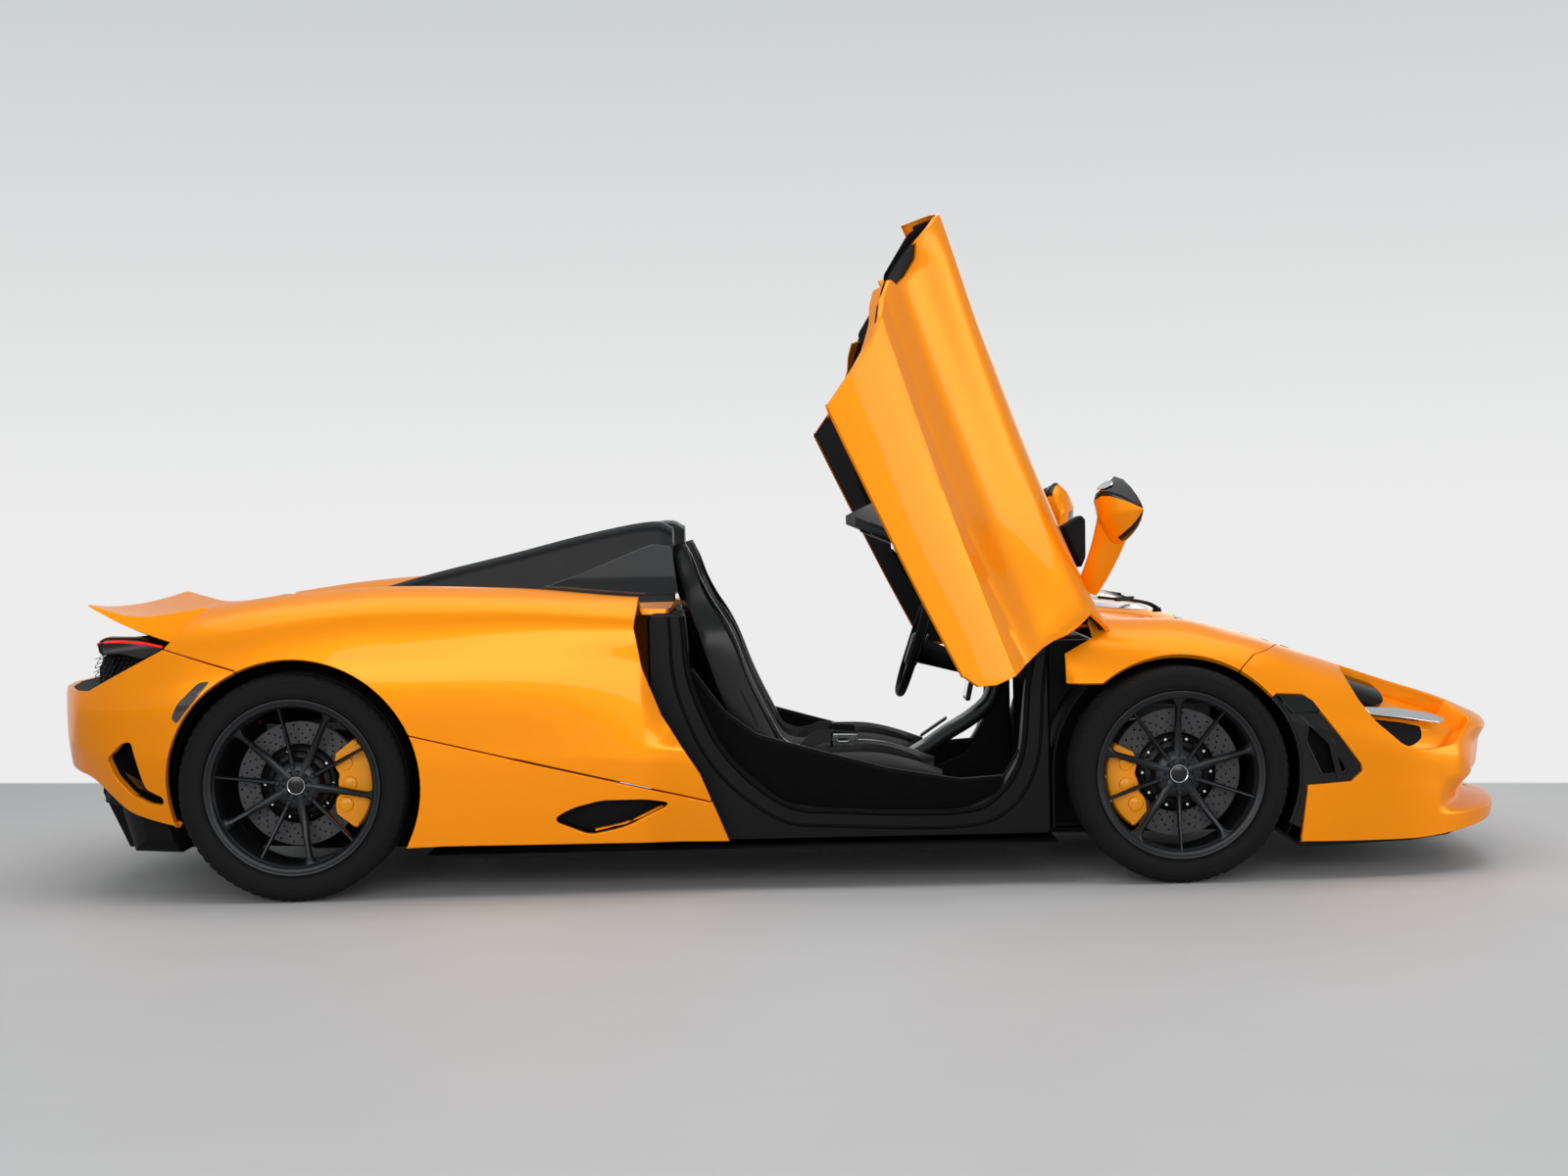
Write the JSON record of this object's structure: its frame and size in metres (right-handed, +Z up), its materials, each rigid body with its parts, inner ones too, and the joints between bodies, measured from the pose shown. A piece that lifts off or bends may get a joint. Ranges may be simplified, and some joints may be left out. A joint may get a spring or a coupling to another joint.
{
  "type": "supercar",
  "caption": "Low open-top two-seat sports car with doors that swing up and forward, flying buttresses, forked spoke wheels and a roof stowed under the rear deck.",
  "frame": {"origin": "on the ground, on the centre plane, below the middle of the length", "axes": "+X to the car's front, +Y to its left, +Z up"},
  "size_m": [4.569, 2.9518, 2.0133],
  "materials": {
    "orange_paint": "gloss metallic",
    "black_gloss": "gloss",
    "satin_dark": "satin",
    "carbon": "satin woven",
    "glass": "clear",
    "lens": "tinted",
    "suede": "napped",
    "trim_black": "matt",
    "tyre": "matt",
    "rim": "satin",
    "brake_disc": "turned",
    "caliper": "gloss",
    "aluminium": "machined",
    "steel": "satin"
  },
  "bodies": {
    "chassis": {"rear_quarter_right": "orange_paint", "rear_quarter_left": "orange_paint", "front_fender_right": "orange_paint", "front_fender_left": "orange_paint", "nose": "orange_paint", "rear_deck": "satin_dark", "buttress_glass": "glass", "rear_bumper": "orange_paint", "diffuser": "carbon", "rear_grille": "trim_black", "tail_lamps": "lens", "exhausts": "steel", "headlamps": "black_gloss", "tub": "carbon", "floor_pan": "carbon", "engine": "aluminium", "luggage_bay": "trim_black", "seats": "suede", "console": "trim_black", "dashboard": "trim_black", "windscreen": "glass", "windscreen_frame": "black_gloss", "suspension_front": "aluminium", "suspension_rear": "aluminium", "arch_liners": "trim_black", "calipers_rear": "caliper", "uprights_rear": "aluminium"},
    "bonnet_lid": {"bonnet": "orange_paint"},
    "tail_wing": {"rear_wing": "orange_paint"},
    "steering": {"steering_wheel": "suede"},
    "knuckle_right": {"upright_front_right": "aluminium", "caliper_front_right": "caliper"},
    "door_right": {"door_shell_right": "orange_paint", "door_trim_right": "suede", "mirror_right": "orange_paint"},
    "wheel_front_right": {"tyre_front_right": "tyre", "rim_front_right": "rim", "disc_front_right": "brake_disc"},
    "wheel_rear_right": {"tyre_rear_right": "tyre", "rim_rear_right": "rim", "disc_rear_right": "brake_disc"},
    "knuckle_left": {"upright_front_left": "aluminium", "caliper_front_left": "caliper"},
    "door_left": {"door_shell_left": "orange_paint", "door_trim_left": "suede", "mirror_left": "orange_paint"},
    "wheel_front_left": {"tyre_front_left": "tyre", "rim_front_left": "rim", "disc_front_left": "brake_disc"},
    "wheel_rear_left": {"tyre_rear_left": "tyre", "rim_rear_left": "rim", "disc_rear_left": "brake_disc"}
  },
  "joints": [
    {"name": "steer_right", "type": "hinge", "parent": "chassis", "child": "knuckle_right", "pos_m": [1.2045, -0.772, 0.327], "axis": [0, 0, 1], "range_deg": [-30, 30]},
    {"name": "roll_front_right", "type": "hinge", "parent": "knuckle_right", "child": "wheel_front_right", "pos_m": [1.2045, -0.837, 0.327], "axis": [0, 1, 0], "continuous": true},
    {"name": "roll_rear_right", "type": "hinge", "parent": "chassis", "child": "wheel_rear_right", "pos_m": [-1.4655, -0.8145, 0.3455], "axis": [0, 1, 0], "continuous": true},
    {"name": "door_right_swing", "type": "hinge", "parent": "chassis", "child": "door_right", "pos_m": [0.922, -0.7, 0.78], "axis": [-0.3584, 0.8145, 0.4561], "range_deg": [-70, 0]},
    {"name": "steer_left", "type": "hinge", "parent": "chassis", "child": "knuckle_left", "pos_m": [1.2045, 0.772, 0.327], "axis": [0, 0, 1], "range_deg": [-30, 30]},
    {"name": "roll_front_left", "type": "hinge", "parent": "knuckle_left", "child": "wheel_front_left", "pos_m": [1.2045, 0.837, 0.327], "axis": [0, 1, 0], "continuous": true},
    {"name": "roll_rear_left", "type": "hinge", "parent": "chassis", "child": "wheel_rear_left", "pos_m": [-1.4655, 0.8145, 0.3455], "axis": [0, 1, 0], "continuous": true},
    {"name": "door_left_swing", "type": "hinge", "parent": "chassis", "child": "door_left", "pos_m": [0.922, 0.7, 0.78], "axis": [0.3584, 0.8145, -0.4561], "range_deg": [-70, 0]},
    {"name": "steering_turn", "type": "hinge", "parent": "chassis", "child": "steering", "pos_m": [0.47, 0.375, 0.655], "axis": [-0.9511, 0, 0.309], "range_deg": [-451, 451]},
    {"name": "bonnet_lift", "type": "hinge", "parent": "chassis", "child": "bonnet_lid", "pos_m": [1.345, 0, 0.738], "axis": [0, 1, 0], "range_deg": [-55, 0]},
    {"name": "wing_lift", "type": "hinge", "parent": "chassis", "child": "tail_wing", "pos_m": [-1.752, 0, 0.886], "axis": [0, 1, 0], "range_deg": [0, 28]}
  ],
  "couplings": [
    {"joint": "steer_left", "follows": "steer_right", "ratio": 1},
    {"joint": "steering_turn", "follows": "steer_right", "ratio": 15}
  ]
}
